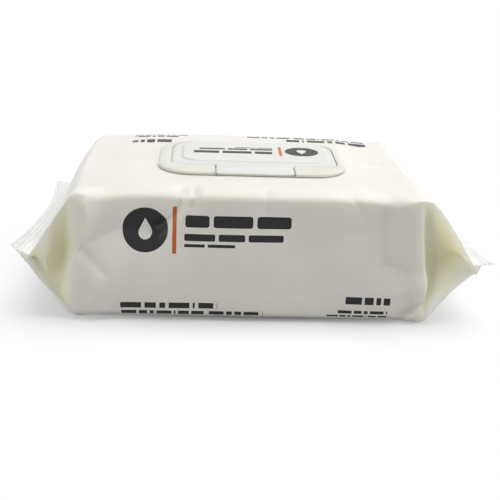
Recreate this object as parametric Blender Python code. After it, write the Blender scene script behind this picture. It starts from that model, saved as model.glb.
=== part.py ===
"""Flow-wrapped pack of wet wipes with a flip-top lid.

The pouch is one sheet of film wrapped round a stack of moist wipes. Its side panels are pushed in
at both ends as gusset tucks, and each end is crimped flat in a seal band that stands out from the
body at about half its height. A moulded frame is glued on the top film, with a hinged lid nested
in it and a peel-off label under the lid.

Lengths are in metres, +Z up, +X along the pack. The hinge is on the -Y side.
"""

from collections import namedtuple

import bmesh
import bpy
import numpy as np

MM = 0.001

# Pouch body
POUCH_HEIGHT = 62.3 * MM  # at the ends of the body
DOME_RISE = 1.7 * MM  # how much higher the flat middle of the top is
DOME_SPAN = (4.0 * MM, 30.0 * MM)  # where the top rises, from the end of the body
HALF_WIDTH = 59.0 * MM
TOP_EDGE = (14.0 * MM, 3.5 * MM)  # half width and half height of the rounding, an ellipse
BOTTOM_EDGE = (9.0 * MM, 6.0 * MM)
SIDE_BULGE = 1.0 * MM  # how far the front and back panels swell at mid height
FOLD_THICKNESS = 0.45 * MM  # two plies of film at a sharp fold
FOLD_BEND = 3.0 * MM  # reach of the bend where a film starts to slope
# Where the body's long edges sharpen into folds, from the end of the body
NEAR_FOLD_SPAN = (-14.0 * MM, 0.0)
FAR_FOLD_SPAN = (-4.0 * MM, 14.0 * MM)
BOTTOM_FOLD_SPAN = (-4.0 * MM, 10.0 * MM)

# Crimped end seals
SEAL_THICKNESS = 1.2 * MM
SEAL_BEND = 1.0 * MM
SEAL_WALL = 0.4 * MM  # length in which the seal closes the mouth of the tuck
SEAL_EDGE_SWELL = 0.25 * MM

# Back fin seal, folded flat under the pack, and the shallow valleys beside it
FIN_HALF_WIDTH = 6.0 * MM
FIN_STEP = 0.3 * MM
FIN_STEP_AT = 6.3 * MM
VALLEY_END = 13.0 * MM
VALLEY_FADE_END = 20.0 * MM

# One end of the pack. body_x is the end of the body at its near side. The end line swells by bow at
# the middle and is pulled in by skew at the far side. run is the length of the slope from there to
# the seal, and seal_z the height of the seal's inner edge. The films start to slope at top_start
# and bottom_start, and follow a power of the way. The outer edge of the seal is lift higher on the near
# side, and its line is pulled in by dip_middle half way across and by dip_far at the far corner.
# tuck_level places the tuck's valley between its two folds, from 0, at the lower fold, to 1, and
# edge_bulge is how far the body's upright end edges swell at mid height.
End = namedtuple(
    "End",
    "side body_x bow skew run seal_length seal_z top_start top_power bottom_start bottom_power "
    "lift dip_middle dip_far tuck_level edge_bulge",
)
LEFT = End(
    side=-1,
    body_x=84.0 * MM,
    bow=2.8 * MM,
    skew=0.0,
    run=21.1 * MM,
    seal_length=8.0 * MM,
    seal_z=31.5 * MM,
    top_start=-2.0 * MM,
    top_power=1.05,
    bottom_start=-3.0 * MM,
    bottom_power=1.3,
    lift=4.9 * MM,
    dip_middle=4.8 * MM,
    dip_far=4.0 * MM,
    tuck_level=0.2,
    edge_bulge=1.5 * MM,
)
RIGHT = End(
    side=1,
    body_x=76.5 * MM,
    bow=-1.2 * MM,
    skew=6.5 * MM,
    run=27.2 * MM,
    seal_length=9.4 * MM,
    seal_z=30.9 * MM,
    top_start=4.4 * MM,
    top_power=1.2,
    bottom_start=0.0,
    bottom_power=1.15,
    lift=1.6 * MM,
    dip_middle=6.2 * MM,
    dip_far=3.0 * MM,
    tuck_level=0.45,
    edge_bulge=5.0 * MM,
)

# Lid frame, glued on the top film
GAP = 0.3 * MM
FRAME_CENTRE_X = -1.0 * MM
FRAME_HALF_LENGTH = 46.5 * MM
FRAME_HALF_WIDTH = 30.7 * MM
FRAME_CORNER_RADIUS = 17.0 * MM
FRAME_BEVEL = 1.5 * MM
FLANGE_THICKNESS = 0.6 * MM
RIM_HEIGHT = 1.7 * MM  # from the flange's underside to the top of the rim
LID_CLEARANCE = 0.5 * MM

# Window that the wipes are drawn through, with a collar round it
WINDOW_CENTRE = (1.3 * MM, 6.2 * MM)
WINDOW_HALF_SIZE = (29.0 * MM, 14.5 * MM)
WINDOW_RADIUS = 12.0 * MM
COLLAR_WALL = 1.2 * MM

# Lid: a plate with a raised panel, and a tongue that runs to the hinge
LID_CENTRE = (0.3 * MM, 6.25 * MM)
LID_HALF_SIZE = (41.3 * MM, 21.75 * MM)
LID_RADIUS = 13.0 * MM
LID_NEAR_RADIUS = 4.0 * MM
LID_CHAMFER = 0.5 * MM
TONGUE_CENTRE_X = 0.1 * MM
TONGUE_HALF_WIDTH = 19.0 * MM
TONGUE_FILLET = 5.0 * MM
PANEL_CENTRE = (1.3 * MM, 6.6 * MM)
PANEL_HALF_SIZE = (37.7 * MM, 19.9 * MM)
PANEL_RADIUS = 10.0 * MM
PANEL_RISE = 0.9 * MM
PANEL_LIP = 0.15 * MM  # upright part of the panel's edge, below its slope
PANEL_SLOPE = 1.2 * MM
LID_WALL = 0.8 * MM
SEALING_RIM_CLEARANCE = 0.4 * MM
SEALING_RIM_WALL = 1.0 * MM
THUMB_LIP_HALF_WIDTH = 11.0 * MM
THUMB_LIP_REACH = 1.6 * MM
THUMB_LIP_DROP = 0.1 * MM  # from the lid's top down to the lip's
THUMB_NOTCH_HALF_WIDTH = 13.0 * MM

# Peel-off label on the film in the window
LABEL_HALF_SIZE = (25.5 * MM, 11.5 * MM)
LABEL_RADIUS = 9.0 * MM
LABEL_THICKNESS = 0.3 * MM

# Heights that follow from the ones above
TOP_FILM = POUCH_HEIGHT + DOME_RISE
FRAME_BOTTOM = TOP_FILM + GAP
FLANGE_TOP = FRAME_BOTTOM + FLANGE_THICKNESS
RIM_TOP = FRAME_BOTTOM + RIM_HEIGHT
LID_BOTTOM = FLANGE_TOP + GAP
LID_TOP = RIM_TOP
PANEL_TOP = LID_TOP + PANEL_RISE
CEILING = PANEL_TOP - LID_WALL
COLLAR_TOP = CEILING - GAP
HINGE_Y = -FRAME_HALF_WIDTH
HINGE_Z = FLANGE_TOP + GAP / 2
CUT_MARGIN = 2.0 * MM

# Fineness of the meshes
ARC_STEPS = 7
EDGE_STEPS = 5  # points on the rounded long edges of the pouch

FILM_COLOUR = (0.90, 0.89, 0.86, 1.0)
FRAME_COLOUR = (0.90, 0.90, 0.86, 1.0)
LID_COLOUR = (0.88, 0.90, 0.87, 1.0)
LABEL_COLOUR = (0.80, 0.84, 0.86, 1.0)


def clear_scene():
    for scene_object in list(bpy.data.objects):
        bpy.data.objects.remove(scene_object, do_unlink=True)


def give_material(piece, colour, roughness):
    material = bpy.data.materials.new(piece.name + "_material")
    material.use_nodes = True
    shader = material.node_tree.nodes["Principled BSDF"]
    shader.inputs["Base Color"].default_value = colour
    shader.inputs["Roughness"].default_value = roughness
    shader.inputs["Metallic"].default_value = 0.0
    piece.data.materials.append(material)


def make_object(name, points, faces):
    mesh = bpy.data.meshes.new(name)
    mesh.from_pydata([tuple(point) for point in points], [], faces)
    mesh.update()
    piece = bpy.data.objects.new(name, mesh)
    bpy.context.scene.collection.objects.link(piece)
    return piece


def ease(t, start, stop):
    """0 before start and 1 after stop, joined by a smooth S curve."""
    u = np.clip((t - start) / (stop - start), 0.0, 1.0)
    return u * u * (3.0 - 2.0 * u)


def ramp(t, reach):
    """0 before a bend at t = 0 and t after it, joined by a parabola that reaches to both sides."""
    parabola = (t + reach) ** 2 / (4.0 * reach)
    return np.where(t <= -reach, 0.0, np.where(t >= reach, t, parabola))


def film_heights(end, s):
    """Heights of the top and bottom film at the distance s beyond the end of the body.

    The bottom is level, and the top is level in the middle and comes down a little towards the
    ends. Both films then slope to the seal and follow it, with rounded bends between.
    """
    past_seal = ramp(s - end.run, SEAL_BEND)
    top_way = (ramp(s - end.top_start, FOLD_BEND) - past_seal) / (end.run - end.top_start)
    bottom_way = (ramp(s - end.bottom_start, FOLD_BEND) - past_seal) / (end.run - end.bottom_start)
    top_drop = POUCH_HEIGHT - end.seal_z - SEAL_THICKNESS / 2
    top = POUCH_HEIGHT + DOME_RISE * ease(-s, *DOME_SPAN) - top_drop * top_way**end.top_power
    bottom = (end.seal_z - SEAL_THICKNESS / 2) * bottom_way**end.bottom_power
    return top, bottom


def tuck_depth(end, s, top, bottom, level):
    """How far the side panel is pushed in at s: its valley is where both its halves stay taut.

    The panel's height is a fixed length of film held at two folds, so the valley lies on an
    ellipse about them. Past the inner edge of the seal the tuck is closed.
    """
    mouth = top - bottom
    off_centre = (level - 0.5) * mouth
    half_film = POUCH_HEIGHT / 2
    across = np.sqrt(np.clip(half_film**2 - (mouth / 2) ** 2, 0.0, None))
    along = np.sqrt(np.clip(1.0 - (off_centre / half_film) ** 2, 0.0, None))
    bulge = SIDE_BULGE * (1.0 - ease(s, -25.0 * MM, -3.0 * MM))
    return np.where(s > end.run, -SEAL_EDGE_SWELL, across * along - bulge)


def underside_relief(y):
    """The film's height over the fin seal's lower face: a step beside the fin, then a valley."""
    stations = [0.0, FIN_HALF_WIDTH, FIN_STEP_AT, VALLEY_END, VALLEY_FADE_END]
    return np.interp(np.abs(y), stations, [0.0, 0.0, FIN_STEP, FIN_STEP, 0.0])


def half_section(end, s, fold_span):
    """Points (y, z) from the middle of the underside round the near side to the middle of the top.

    The two films share their y positions, so each point has a partner above or below it. The long
    edges, rounded on the body, sharpen into folds: the top edge does so along fold_span.
    """
    top, bottom = film_heights(end, s)
    level = 0.5 + (end.tuck_level - 0.5) * ease(s, -10.0 * MM, 6.0 * MM) * (s <= end.run)
    depth = tuck_depth(end, s, top, bottom, level)
    bottom_fold = np.array(BOTTOM_EDGE)
    bottom_fold += (FOLD_THICKNESS - bottom_fold) * ease(s, *BOTTOM_FOLD_SPAN)
    top_fold = np.array(TOP_EDGE)
    top_fold += (FOLD_THICKNESS - top_fold) * ease(s, *fold_span)
    low, high = bottom + bottom_fold[1], top - top_fold[1]
    valley = low + level * (high - low)

    film_y = np.array([0.0, FIN_HALF_WIDTH, FIN_STEP_AT, VALLEY_END, VALLEY_FADE_END, 31.0 * MM, 42.0 * MM])
    relief = underside_relief(film_y) * (1.0 - ease(s, end.run - 4.0 * MM, end.run))
    under = np.stack([-film_y, bottom + relief], axis=1)
    over = np.stack([-film_y, np.full_like(film_y, top)], axis=1)

    turn = np.linspace(0.0, np.pi / 2, EDGE_STEPS)[:, None]
    swing = np.concatenate([np.sin(turn), np.cos(turn)], axis=1)
    lower_edge = [-HALF_WIDTH + bottom_fold[0], low] - swing * bottom_fold
    upper_edge = [-HALF_WIDTH + top_fold[0], high] + swing * top_fold * [-1.0, 1.0]

    share = np.array([1.0 / 3.0, 2.0 / 3.0])[:, None]
    tip = np.array([[-HALF_WIDTH + depth, valley]])
    lower_panel = lower_edge[-1] + (tip - lower_edge[-1]) * share
    upper_panel = upper_edge[-1] + (tip - upper_edge[-1]) * share
    return np.concatenate(
        [under, lower_edge, lower_panel, tip, upper_panel[::-1], upper_edge[::-1], over[::-1]]
    )


def pouch_section(end, s):
    """A closed loop of (x, y, z) points round the pouch at the distance s beyond the body's end."""
    near = half_section(end, s, NEAR_FOLD_SPAN)
    far = half_section(end, s, FAR_FOLD_SPAN)[-2:0:-1] * [-1.0, 1.0]
    loop = np.concatenate([near, far])
    y = loop[:, 0]
    z = loop[:, 1]
    across = y / HALF_WIDTH

    shoulder = ease(s, -45.0 * MM, -2.0 * MM) * (1.0 - ease(s, 0.0, end.run))
    end_line = (end.bow * (1.0 - across**2) - end.skew * (1.0 + across) / 2) * shoulder
    dip = end.dip_middle * (1.0 - across**2) + end.dip_far * (1.0 + across) / 2
    pulled_in = dip * ease(s, 2.0 * MM, end.run)
    lift = end.lift * (1.0 - across) / 2 * ramp(s - end.run, SEAL_BEND) / end.seal_length

    top, bottom = film_heights(end, s)
    up = (z - bottom) / (top - bottom)
    near_edge = ease(s, -16.0 * MM, 0.0) * (1.0 - ease(s, 0.0, end.run))
    edge = end.edge_bulge * 4.0 * up * (1.0 - up) * near_edge
    x = end.side * (end.body_x + s + end_line - pulled_in + edge)
    return np.stack([x, y, z + lift], axis=1)


def make_pouch():
    """The film and the stack inside as one closed solid, lofted from one end seal to the other."""
    slope = [-45.0, -30.0, -20.0, -13.0, -8.0, -5.0, -3.0, -1.5, 0.0, 1.5, 3.0, 5.0, 7.5, 11.0, 15.0]
    loops = []
    for end in (LEFT, RIGHT):
        seal = [end.run - 4.5 * MM, end.run - 1.5 * MM, end.run, end.run + SEAL_WALL]
        seal += [end.run + end.seal_length * share for share in (0.35, 1.0)]
        distances = [step * MM for step in slope] + seal
        end_loops = [pouch_section(end, distance) for distance in distances]
        if end.side < 0:
            end_loops.reverse()
            middle = [pouch_section(end, x - end.body_x) for x in (20.0 * MM, 0.0)]
            end_loops += middle
        loops += end_loops
    points = np.concatenate(loops)

    count = len(loops[0])
    faces = []
    for row in range(len(loops) - 1):
        for column in range(count):
            following = (column + 1) % count
            a = row * count + column
            b = row * count + following
            faces.append((a, a + count, b + count, b))

    half = count // 2
    last = (len(loops) - 1) * count
    for column in range(half // 2):
        faces.append(cap_face(0, column, half, count))
        faces.append(cap_face(0, count - 1 - column, half, count))
        faces.append(cap_face(last, column, half, count)[::-1])
        faces.append(cap_face(last, count - 1 - column, half, count)[::-1])
    return make_object("pouch", points, faces)


def cap_face(start, column, half, count):
    """One face of the strip that closes an end: two points of the lower film and their partners."""
    following = (column + 1) % count
    corners = [column, following, (half - following) % count, (half - column) % count]
    face = [start + corner for corner in corners]
    if following == (half - following) % count:
        face.pop(2)
    if column == (half - column) % count:
        face.pop()
    return tuple(face)


def rounded_rectangle(centre, half_size, radii):
    """Outline as (x, y) points, anticlockwise. radii are those of the near and the far corners."""
    near_radius, far_radius = radii
    corners = [
        (1, -1, near_radius, -90.0),
        (1, 1, far_radius, 0.0),
        (-1, 1, far_radius, 90.0),
        (-1, -1, near_radius, 180.0),
    ]
    outline = []
    for side_x, side_y, radius, start in corners:
        angles = np.radians(np.linspace(start, start + 90.0, ARC_STEPS))
        arc_x = centre[0] + side_x * (half_size[0] - radius) + radius * np.cos(angles)
        arc_y = centre[1] + side_y * (half_size[1] - radius) + radius * np.sin(angles)
        outline.append(np.stack([arc_x, arc_y], axis=1))
    return np.concatenate(outline)


def lid_outline(grow, near_y):
    """Plan of the lid: a rounded rectangle, and a tongue with filleted roots that runs to near_y.

    The outline is grown outwards by grow on all its sides but the tongue's end.
    """
    half_x = LID_HALF_SIZE[0] + grow
    half_y = LID_HALF_SIZE[1] + grow
    body = rounded_rectangle(
        LID_CENTRE, (half_x, half_y), (LID_NEAR_RADIUS + grow, LID_RADIUS + grow)
    )
    root_y = LID_CENTRE[1] - half_y
    tongue_half = TONGUE_HALF_WIDTH + grow
    fillet = TONGUE_FILLET - grow
    angles = np.radians(np.linspace(90.0, 0.0, ARC_STEPS))
    arc_x = tongue_half + fillet - fillet * np.cos(angles)
    arc_y = root_y - fillet + fillet * np.sin(angles)
    left_root = np.stack([TONGUE_CENTRE_X - arc_x, arc_y], axis=1)
    right_root = np.stack([TONGUE_CENTRE_X + arc_x, arc_y], axis=1)[::-1]
    tongue_end = np.array(
        [[TONGUE_CENTRE_X - tongue_half, near_y], [TONGUE_CENTRE_X + tongue_half, near_y]]
    )
    return np.concatenate([body, left_root, tongue_end, right_root])


def inset(outline, distance):
    """The outline moved inwards by distance, each point along the bisector of its two edges."""
    before = outline - np.roll(outline, 1, axis=0)
    after = np.roll(outline, -1, axis=0) - outline
    normals = []
    for edges in (before, after):
        edges = edges / np.linalg.norm(edges, axis=1)[:, None]
        normals.append(np.stack([-edges[:, 1], edges[:, 0]], axis=1))
    bisector = normals[0] + normals[1]
    bisector /= (bisector * normals[0]).sum(axis=1)[:, None]
    return outline + bisector * distance


def layered(name, layers):
    """A closed solid from outlines with the same number of points, each given with its height."""
    count = len(layers[0][0])
    points = [np.column_stack([outline, np.full(count, z)]) for outline, z in layers]
    faces = [tuple(range(count))[::-1]]
    for level in range(len(layers) - 1):
        start = level * count
        for index in range(count):
            following = (index + 1) % count
            faces.append(
                (start + index, start + following, start + count + following, start + count + index)
            )
    top = (len(layers) - 1) * count
    faces.append(tuple(range(top, top + count)))
    return make_object(name, np.concatenate(points), faces)


def block(name, low, high):
    """A box between two corners."""
    outline = np.array([[low[0], low[1]], [high[0], low[1]], [high[0], high[1]], [low[0], high[1]]])
    return layered(name, [(outline, low[2]), (outline, high[2])])


def combine(piece, tool, operation):
    """Cuts piece with tool or joins tool to it. The tool stays as a hidden wire helper."""
    modifier = piece.modifiers.new(operation.lower() + "_" + tool.name, "BOOLEAN")
    modifier.operation = operation
    modifier.solver = "EXACT"
    modifier.object = tool
    tool.hide_render = True
    tool.display_type = "WIRE"


def ring_tool(name, outer, inner, low, high):
    """A helper in the shape of a ring between two outlines."""
    ring = layered(name, [(outer, low), (outer, high)])
    core = layered(name + "_core", [(inner, low - CUT_MARGIN), (inner, high + CUT_MARGIN)])
    combine(ring, core, "DIFFERENCE")
    return ring


def window_outline(grow):
    half_size = (WINDOW_HALF_SIZE[0] + grow, WINDOW_HALF_SIZE[1] + grow)
    return rounded_rectangle(WINDOW_CENTRE, half_size, (WINDOW_RADIUS + grow,) * 2)


def make_lid_frame():
    """Flange with a raised bevelled rim: the lid's pocket is sunk in it, round a collared window."""
    outline = rounded_rectangle(
        (FRAME_CENTRE_X, 0.0), (FRAME_HALF_LENGTH, FRAME_HALF_WIDTH), (FRAME_CORNER_RADIUS,) * 2
    )
    frame = layered(
        "lid_frame",
        [
            (outline, FRAME_BOTTOM),
            (outline, RIM_TOP - LID_CHAMFER),
            (inset(outline, FRAME_BEVEL), RIM_TOP),
        ],
    )
    above = RIM_TOP + CUT_MARGIN
    below = FRAME_BOTTOM - CUT_MARGIN
    pocket = ring_tool(
        "pocket_tool",
        lid_outline(LID_CLEARANCE, HINGE_Y - CUT_MARGIN),
        window_outline(COLLAR_WALL),
        FLANGE_TOP,
        above,
    )
    combine(frame, pocket, "DIFFERENCE")
    over_collar = window_outline(COLLAR_WALL + LID_CLEARANCE)
    collar_top = layered("collar_top_tool", [(over_collar, COLLAR_TOP), (over_collar, above)])
    combine(frame, collar_top, "DIFFERENCE")
    window = layered("window_tool", [(window_outline(0.0), below), (window_outline(0.0), above)])
    combine(frame, window, "DIFFERENCE")
    notch_x = LID_CENTRE[0]
    notch = block(
        "thumb_notch_tool",
        (notch_x - THUMB_NOTCH_HALF_WIDTH, LID_CENTRE[1] + LID_HALF_SIZE[1] - CUT_MARGIN, FLANGE_TOP),
        (notch_x + THUMB_NOTCH_HALF_WIDTH, FRAME_HALF_WIDTH + CUT_MARGIN, above),
    )
    combine(frame, notch, "DIFFERENCE")
    give_material(frame, FRAME_COLOUR, 0.45)
    return frame


def make_lid():
    """Plate and tongue with a raised panel, hollow under the panel but for a sealing rim.

    The tongue's end has the frame's bevel.
    """
    plan = lid_outline(0.0, HINGE_Y)
    top_plan = inset(lid_outline(0.0, HINGE_Y + FRAME_BEVEL - LID_CHAMFER), LID_CHAMFER)
    lid = layered(
        "lid",
        [
            (plan, LID_BOTTOM),
            (plan, LID_TOP - LID_CHAMFER),
            (top_plan, LID_TOP),
        ],
    )
    lip_y = LID_CENTRE[1] + LID_HALF_SIZE[1]
    lip = block(
        "thumb_lip_tool",
        (LID_CENTRE[0] - THUMB_LIP_HALF_WIDTH, lip_y - 4.0 * MM, LID_BOTTOM),
        (LID_CENTRE[0] + THUMB_LIP_HALF_WIDTH, lip_y + THUMB_LIP_REACH, LID_TOP - THUMB_LIP_DROP),
    )
    combine(lid, lip, "UNION")
    panel_outline = rounded_rectangle(PANEL_CENTRE, PANEL_HALF_SIZE, (PANEL_RADIUS,) * 2)
    panel = layered(
        "panel_tool",
        [
            (panel_outline, LID_TOP - LID_CHAMFER / 2),
            (panel_outline, LID_TOP + PANEL_LIP),
            (inset(panel_outline, PANEL_SLOPE), PANEL_TOP),
        ],
    )
    combine(lid, panel, "UNION")

    below = LID_BOTTOM - CUT_MARGIN
    rim_inner = COLLAR_WALL + SEALING_RIM_CLEARANCE
    rim_outer = rim_inner + SEALING_RIM_WALL
    hollow = ring_tool(
        "hollow_tool",
        inset(panel_outline, PANEL_SLOPE + LID_WALL),
        window_outline(rim_outer),
        below,
        CEILING,
    )
    combine(lid, hollow, "DIFFERENCE")
    well = layered(
        "well_tool", [(window_outline(rim_inner), below), (window_outline(rim_inner), CEILING)]
    )
    combine(lid, well, "DIFFERENCE")

    pivot = np.array([FRAME_CENTRE_X, HINGE_Y, HINGE_Z])
    mesh = lid.data
    for vertex in mesh.vertices:
        vertex.co -= type(vertex.co)(pivot)
    lid.location = pivot
    give_material(lid, LID_COLOUR, 0.4)
    return lid


def make_seal_label():
    """Flat label with rounded corners, lying on the film inside the frame's window."""
    outline = rounded_rectangle(WINDOW_CENTRE, LABEL_HALF_SIZE, (LABEL_RADIUS,) * 2)
    label = layered(
        "seal_label", [(outline, FRAME_BOTTOM), (outline, FRAME_BOTTOM + LABEL_THICKNESS)]
    )
    give_material(label, LABEL_COLOUR, 0.35)
    return label


def shade(piece):
    piece.data.shade_smooth()
    piece.data.set_sharp_from_angle(angle=np.radians(35.0))


def main():
    clear_scene()
    pouch = make_pouch()
    give_material(pouch, FILM_COLOUR, 0.5)
    shade(pouch)
    for piece in (make_lid_frame(), make_lid(), make_seal_label()):
        shade(piece)


main()
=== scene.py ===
from collections import namedtuple

import bmesh
import bpy
import numpy as np
from mathutils import Matrix, Vector


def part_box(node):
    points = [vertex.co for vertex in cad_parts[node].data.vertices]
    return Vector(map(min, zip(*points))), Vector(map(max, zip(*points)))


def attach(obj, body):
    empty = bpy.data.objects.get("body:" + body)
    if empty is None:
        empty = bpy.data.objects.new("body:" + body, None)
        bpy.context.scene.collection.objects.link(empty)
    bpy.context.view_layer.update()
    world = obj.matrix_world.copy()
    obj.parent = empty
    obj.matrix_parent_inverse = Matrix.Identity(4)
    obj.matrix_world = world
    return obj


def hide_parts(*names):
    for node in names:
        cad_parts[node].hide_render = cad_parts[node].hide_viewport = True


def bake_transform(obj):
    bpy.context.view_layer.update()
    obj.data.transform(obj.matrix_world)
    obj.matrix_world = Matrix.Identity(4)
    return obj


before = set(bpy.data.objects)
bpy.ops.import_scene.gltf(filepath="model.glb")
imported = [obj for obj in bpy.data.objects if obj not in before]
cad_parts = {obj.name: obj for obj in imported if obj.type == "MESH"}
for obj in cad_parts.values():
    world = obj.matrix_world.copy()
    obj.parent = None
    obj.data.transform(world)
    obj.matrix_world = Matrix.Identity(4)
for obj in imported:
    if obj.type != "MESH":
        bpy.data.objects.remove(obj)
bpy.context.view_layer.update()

MM = 0.001

# Camera
# It stands in front of the pack, a little to the left and above, and is turned slightly about its
# own axis, as a hand-held one is.
CAMERA_AZIMUTH = -2.7
CAMERA_ELEVATION = 20.1
CAMERA_ROLL = 2.2
CAMERA_DISTANCE = 529.2 * MM
CAMERA_TARGET = np.array([0.3, 0.0, 15.0]) * MM
FOCAL_LENGTH_IN_FRAMES = 2.002


def place_camera():
    """Puts the camera on a sphere round its target, looking at it, and rolls it."""
    azimuth, elevation, roll = np.radians([CAMERA_AZIMUTH, CAMERA_ELEVATION, CAMERA_ROLL])
    back = np.array(
        [np.sin(azimuth) * np.cos(elevation), -np.cos(azimuth) * np.cos(elevation), np.sin(elevation)]
    )
    right = np.cross(-back, [0.0, 0.0, 1.0])
    right /= np.linalg.norm(right)
    up = np.cross(right, -back)
    rolled_right = np.cos(roll) * right + np.sin(roll) * up
    rolled_up = -np.sin(roll) * right + np.cos(roll) * up
    data = bpy.data.cameras.new("camera")
    data.lens = data.sensor_width * FOCAL_LENGTH_IN_FRAMES
    data.clip_start = 0.01
    data.clip_end = 20.0
    camera = bpy.data.objects.new("camera", data)
    bpy.context.scene.collection.objects.link(camera)
    turn = Matrix(np.stack([rolled_right, rolled_up, back], axis=1).tolist()).to_4x4()
    camera.matrix_world = Matrix.Translation(Vector(CAMERA_TARGET + back * CAMERA_DISTANCE)) @ turn
    bpy.context.scene.camera = camera


place_camera()
bpy.context.scene.view_settings.view_transform = "Standard"

# Floor, surroundings and lamps
# A white studio table under a broad soft light from above, with weaker ones from the left in front
# and from the right. The camera sees the table as white away from the pack, and with the pack's
# soft shadow near it.
FLOOR_SIZE = 6.0
FLOOR_LEVEL = -0.05 * MM
FLOOR_COLOUR = (0.52, 0.52, 0.525, 1.0)
FLOOR_SEEN_COLOUR = (0.955, 0.96, 0.98, 1.0)
SHADOW_REACH = (0.04, 0.19)
WORLD_COLOUR = (1.0, 0.99, 0.965, 1.0)
WORLD_STRENGTH = 0.16
LAMPS = {
    "top_lamp": ((0.25, 0.2, 1.45), 1.5, 23.5),
    "left_lamp": ((-0.8, -0.95, 0.3), 0.7, 4.3),
    "right_lamp": ((1.3, -0.15, 0.3), 0.7, 7.0),
}


def seen_directly(tree):
    """1 for rays from the camera, from mirrors and through glass, and 0 for those that light."""
    path = tree.nodes.new("ShaderNodeLightPath")
    seen = path.outputs["Is Camera Ray"]
    for name in ("Is Glossy Ray", "Is Transmission Ray"):
        either = tree.nodes.new("ShaderNodeMath")
        either.operation = "MAXIMUM"
        tree.links.new(seen, either.inputs[0])
        tree.links.new(path.outputs[name], either.inputs[1])
        seen = either.outputs[0]
    return seen


def make_surroundings():
    """White world: a dim warm white lights the pack, and the camera sees plain white."""
    world = bpy.data.worlds.new("studio")
    world.use_nodes = True
    tree = world.node_tree
    tree.nodes.clear()
    dim = tree.nodes.new("ShaderNodeBackground")
    dim.inputs["Color"].default_value = WORLD_COLOUR
    dim.inputs["Strength"].default_value = WORLD_STRENGTH
    white = tree.nodes.new("ShaderNodeBackground")
    white.inputs["Color"].default_value = (1.0, 1.0, 1.0, 1.0)
    white.inputs["Strength"].default_value = 1.0
    mix = tree.nodes.new("ShaderNodeMixShader")
    tree.links.new(seen_directly(tree), mix.inputs["Fac"])
    tree.links.new(dim.outputs[0], mix.inputs[1])
    tree.links.new(white.outputs[0], mix.inputs[2])
    output = tree.nodes.new("ShaderNodeOutputWorld")
    tree.links.new(mix.outputs[0], output.inputs["Surface"])
    bpy.context.scene.world = world


def floor_material():
    """Pale grey for the light that it returns, near white where it is seen, and plain white light
    further out, which fades in from SHADOW_REACH on."""
    material = bpy.data.materials.new("floor_white")
    material.use_nodes = True
    tree = material.node_tree
    shader = tree.nodes["Principled BSDF"]
    shader.inputs["Roughness"].default_value = 0.9
    shader.inputs["Specular IOR Level"].default_value = 0.1
    seen = seen_directly(tree)
    colour = tree.nodes.new("ShaderNodeMix")
    colour.data_type = "RGBA"
    colour.inputs[6].default_value = FLOOR_COLOUR
    colour.inputs[7].default_value = FLOOR_SEEN_COLOUR
    tree.links.new(seen, colour.inputs[0])
    tree.links.new(colour.outputs[2], shader.inputs["Base Color"])
    place = tree.nodes.new("ShaderNodeTexCoord")
    distance = tree.nodes.new("ShaderNodeVectorMath")
    distance.operation = "LENGTH"
    tree.links.new(place.outputs["Object"], distance.inputs[0])
    fade = tree.nodes.new("ShaderNodeMapRange")
    fade.interpolation_type = "SMOOTHSTEP"
    fade.inputs["From Min"].default_value = SHADOW_REACH[0]
    fade.inputs["From Max"].default_value = SHADOW_REACH[1]
    tree.links.new(distance.outputs["Value"], fade.inputs["Value"])
    share = tree.nodes.new("ShaderNodeMath")
    share.operation = "MULTIPLY"
    tree.links.new(fade.outputs[0], share.inputs[0])
    tree.links.new(seen, share.inputs[1])
    white = tree.nodes.new("ShaderNodeEmission")
    white.inputs["Strength"].default_value = 1.0
    mix = tree.nodes.new("ShaderNodeMixShader")
    tree.links.new(share.outputs[0], mix.inputs["Fac"])
    tree.links.new(shader.outputs[0], mix.inputs[1])
    tree.links.new(white.outputs[0], mix.inputs[2])
    tree.links.new(mix.outputs[0], tree.nodes["Material Output"].inputs["Surface"])
    return material


def make_floor():
    """A square just under the pack."""
    half = FLOOR_SIZE / 2
    corners = [(x * half, y * half, FLOOR_LEVEL) for x, y in ((-1, -1), (1, -1), (1, 1), (-1, 1))]
    mesh = bpy.data.meshes.new("floor")
    mesh.from_pydata(corners, [], [(0, 1, 2, 3)])
    mesh.materials.append(floor_material())
    floor = bpy.data.objects.new("floor", mesh)
    bpy.context.scene.collection.objects.link(floor)


def make_lamp(name, place, size, power):
    """A square lamp that faces the pack."""
    data = bpy.data.lights.new(name, "AREA")
    data.energy = power
    data.shape = "SQUARE"
    data.size = size
    lamp = bpy.data.objects.new(name, data)
    lamp.location = place
    aim = Vector((0.0, 0.0, 0.03)) - Vector(place)
    lamp.rotation_mode = "QUATERNION"
    lamp.rotation_quaternion = aim.to_track_quat("-Z", "Y")
    bpy.context.scene.collection.objects.link(lamp)


make_surroundings()
make_floor()
for lamp_name, (lamp_place, lamp_size, lamp_power) in LAMPS.items():
    make_lamp(lamp_name, lamp_place, lamp_size, lamp_power)

# Pouch
# One sheet of printed plastic film wrapped round the stack of wipes. Its side panels are pushed in
# at both ends as gusset tucks, both ends are crimped flat in ribbed seal bands, and the two edges
# of the sheet meet in a fin seal that is folded flat under the pack.
pouch_low, pouch_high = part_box("pouch")
POUCH_HEIGHT = 62.3 * MM
DOME_RISE = pouch_high.z - POUCH_HEIGHT
DOME_SPAN = (4.0 * MM, 30.0 * MM)
SIDE_BULGE = 1.0 * MM
HALF_WIDTH = pouch_high.y - SIDE_BULGE
NEAR_TOP_EDGE = (13.0 * MM, 5.0 * MM)
FAR_TOP_EDGE = (14.0 * MM, 3.5 * MM)
NEAR_LEAN = 3.5 * MM
NEAR_LEAN_SPAN = (10.0 * MM, 50.0 * MM)
BOTTOM_EDGE = (9.0 * MM, 6.0 * MM)
FOLD_THICKNESS = 0.3 * MM
FOLD_BEND = 2.2 * MM
CREASE_BEND = 0.6 * MM
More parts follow.
